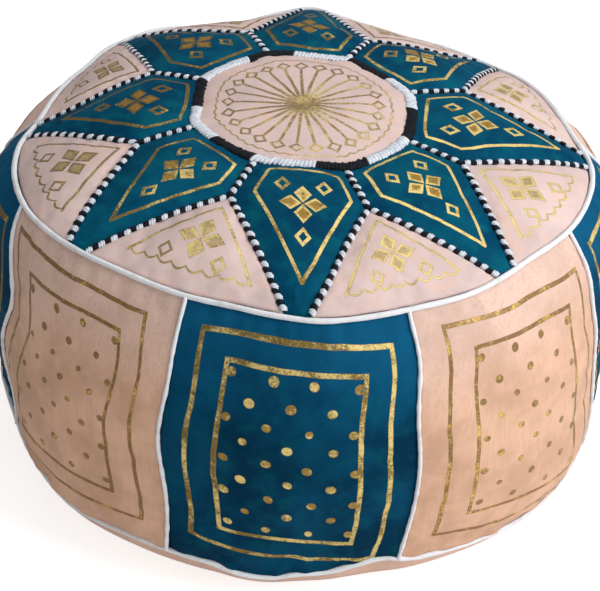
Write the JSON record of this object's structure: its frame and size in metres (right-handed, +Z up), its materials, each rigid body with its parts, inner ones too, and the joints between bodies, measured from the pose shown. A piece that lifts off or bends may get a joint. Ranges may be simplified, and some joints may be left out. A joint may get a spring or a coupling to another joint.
{
  "type": "leather pouf",
  "caption": "Round stuffed leather pouf with a star-patterned top, piped side panels and a zip in the underside.",
  "frame": {"origin": "middle of the base on the floor", "axes": "+Z up through the crown, -Y towards the middle of the front side panel, X along the zip"},
  "size_m": [0.5454, 0.55, 0.307],
  "materials": {
    "blue_leather": "teal blue dyed leather, glazed, with stamped gold tooling",
    "natural_leather": "natural undyed vegetable tanned leather, satin",
    "white_piping": "white leather over a cord",
    "white_lace": "white lacing thread",
    "black_lace": "black lacing thread",
    "zip_tape": "woven brown tape",
    "zip_metal": "worn brass",
    "liner_cloth": "unbleached cotton",
    "stuffing": "packed cotton waste"
  },
  "bodies": {
    "cover": {"medallion": "natural_leather", "star_petal_1": "blue_leather", "star_petal_2": "blue_leather", "star_petal_3": "blue_leather", "star_petal_4": "blue_leather", "star_petal_5": "blue_leather", "star_petal_6": "blue_leather", "star_petal_7": "blue_leather", "star_petal_8": "blue_leather", "rim_triangle_1": "natural_leather", "rim_triangle_2": "natural_leather", "rim_triangle_3": "natural_leather", "rim_triangle_4": "natural_leather", "rim_triangle_5": "natural_leather", "rim_triangle_6": "natural_leather", "rim_triangle_7": "natural_leather", "rim_triangle_8": "natural_leather", "side_panel_1": "blue_leather", "side_panel_2": "natural_leather", "side_panel_3": "blue_leather", "side_panel_4": "natural_leather", "side_panel_5": "blue_leather", "side_panel_6": "natural_leather", "side_panel_7": "blue_leather", "side_panel_8": "natural_leather", "side_panel_9": "blue_leather", "side_panel_10": "natural_leather", "side_welt_1": "white_piping", "side_welt_2": "white_piping", "side_welt_3": "white_piping", "side_welt_4": "white_piping", "side_welt_5": "white_piping", "side_welt_6": "white_piping", "side_welt_7": "white_piping", "side_welt_8": "white_piping", "side_welt_9": "white_piping", "side_welt_10": "white_piping", "top_welt": "white_piping", "bottom_welt": "white_piping", "medallion_lace_white": "white_lace", "medallion_lace_black": "black_lace", "star_lace": "white_lace", "bottom_panel_front": "natural_leather", "bottom_panel_back": "natural_leather", "zip_tape_front": "zip_tape", "zip_tape_back": "zip_tape", "zip_teeth_front": "zip_metal", "zip_teeth_back": "zip_metal", "zip_stops": "zip_metal", "liner_bag": "liner_cloth", "stuffing": "stuffing"},
    "slider": {"zip_slider": "zip_metal"},
    "pull": {"zip_pull": "zip_metal"}
  },
  "joints": [
    {"name": "zip_travel", "type": "slide", "parent": "cover", "child": "slider", "axis": [-1, 0, 0], "range_m": [0, 0.366]},
    {"name": "pull_swing", "type": "hinge", "parent": "slider", "child": "pull", "pos_m": [0.183, 0, 0.0086], "axis": [0, -1, 0], "range_deg": [0, 175]}
  ]
}
